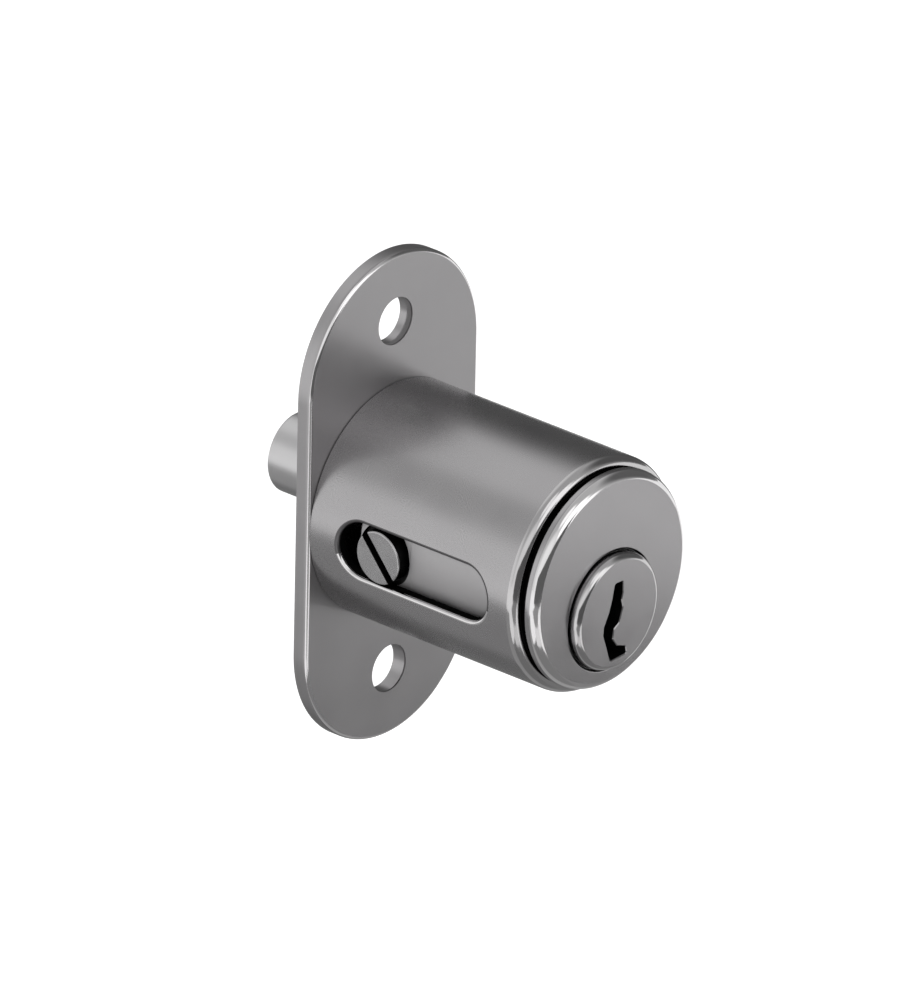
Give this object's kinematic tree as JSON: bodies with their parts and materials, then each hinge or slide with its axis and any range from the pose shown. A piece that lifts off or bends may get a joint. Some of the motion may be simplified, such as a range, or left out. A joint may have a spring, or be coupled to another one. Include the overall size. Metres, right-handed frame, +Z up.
{
  "type": "push button cabinet lock",
  "caption": "Push button lock for sliding doors and cabinets: a keyed plunger in a flanged round housing throws a round bolt out of the back of its mounting plate.",
  "frame": {"origin": "centre of the mounting plate's back face, on the axis of the housing", "axes": "+Y points out of the back, the way the bolt is thrown; the button faces -Y; +Z is up, along the plate's length; +X is to the right of someone who faces the button"},
  "size_m": [0.0224, 0.0385, 0.047],
  "materials": {
    "plate_nickel": "satin nickel plate on steel",
    "housing_nickel": "satin nickel plate, turned",
    "button_nickel": "satin face with a polished edge, nickel plate",
    "plug_nickel": "satin face with a polished edge, nickel plate",
    "bolt_steel": "smooth ground steel, nickel plated",
    "screw_steel": "turned, nickel plated",
    "zinc": "plain zinc casting, unpainted",
    "brass": "turned or stamped brass",
    "spring_steel": "drawn wire",
    "pin_steel": "ground steel"
  },
  "bodies": {
    "housing": {"mounting_plate": "plate_nickel", "housing_tube": "housing_nickel", "return_spring": "spring_steel"},
    "button": {"plunger_barrel": "button_nickel", "plunger_carrier": "zinc", "carrier_screws": "screw_steel", "locking_bolt": "bolt_steel", "guide_screw": "screw_steel", "chamber_cover": "zinc", "latch_spring": "spring_steel", "pin_spring_1": "spring_steel", "pin_spring_2": "spring_steel", "pin_spring_3": "spring_steel", "pin_spring_4": "spring_steel", "pin_spring_5": "spring_steel"},
    "latch": {"latch_slider": "brass"},
    "plug": {"key_plug": "plug_nickel", "plug_clip": "spring_steel", "drive_pin": "pin_steel", "stop_pin": "pin_steel"},
    "driver_1": {"driver_pin_1": "brass"},
    "key_pin_1": {"key_pin_1": "brass"},
    "driver_2": {"driver_pin_2": "brass"},
    "key_pin_2": {"key_pin_2": "brass"},
    "driver_3": {"driver_pin_3": "brass"},
    "key_pin_3": {"key_pin_3": "brass"},
    "driver_4": {"driver_pin_4": "brass"},
    "key_pin_4": {"key_pin_4": "brass"},
    "driver_5": {"driver_pin_5": "brass"},
    "key_pin_5": {"key_pin_5": "brass"}
  },
  "joints": [
    {"name": "button_slide", "type": "slide", "parent": "housing", "child": "button", "axis": [0, -1, 0], "range_m": [0, 0.0104], "deforming": ["return_spring"]},
    {"name": "plug_turn", "type": "hinge", "parent": "button", "child": "plug", "pos_m": [0, -0.02, -0.00275], "axis": [0, 1, 0], "range_deg": [0, 90]},
    {"name": "latch_slide", "type": "slide", "parent": "button", "child": "latch", "axis": [0, 0, 1], "range_m": [0, 0.00184], "deforming": ["latch_spring"]},
    {"name": "driver_pin_1_lift", "type": "slide", "parent": "button", "child": "driver_1", "axis": [0, 0, 1], "range_m": [0, 0.0012], "deforming": ["pin_spring_1"]},
    {"name": "driver_pin_2_lift", "type": "slide", "parent": "button", "child": "driver_2", "axis": [0, 0, 1], "range_m": [0, 0.0012], "deforming": ["pin_spring_2"]},
    {"name": "driver_pin_3_lift", "type": "slide", "parent": "button", "child": "driver_3", "axis": [0, 0, 1], "range_m": [0, 0.0012], "deforming": ["pin_spring_3"]},
    {"name": "driver_pin_4_lift", "type": "slide", "parent": "button", "child": "driver_4", "axis": [0, 0, 1], "range_m": [0, 0.0012], "deforming": ["pin_spring_4"]},
    {"name": "driver_pin_5_lift", "type": "slide", "parent": "button", "child": "driver_5", "axis": [0, 0, 1], "range_m": [0, 0.0012], "deforming": ["pin_spring_5"]},
    {"name": "key_pin_1_drop", "type": "slide", "parent": "plug", "child": "key_pin_1", "axis": [0, 0, 1], "range_m": [-0.0006, 0]},
    {"name": "key_pin_2_drop", "type": "slide", "parent": "plug", "child": "key_pin_2", "axis": [0, 0, 1], "range_m": [-0.0012, 0]},
    {"name": "key_pin_3_drop", "type": "slide", "parent": "plug", "child": "key_pin_3", "axis": [0, 0, 1], "range_m": [-0.0009, 0]},
    {"name": "key_pin_4_drop", "type": "slide", "parent": "plug", "child": "key_pin_4", "axis": [0, 0, 1], "range_m": [-0.0015, 0]},
    {"name": "key_pin_5_drop", "type": "slide", "parent": "plug", "child": "key_pin_5", "axis": [0, 0, 1], "range_m": [-0.0006, 0]}
  ],
  "couplings": [
    {"joint": "latch_slide", "follows": "plug_turn", "m_per_rad": 0.0011704}
  ]
}
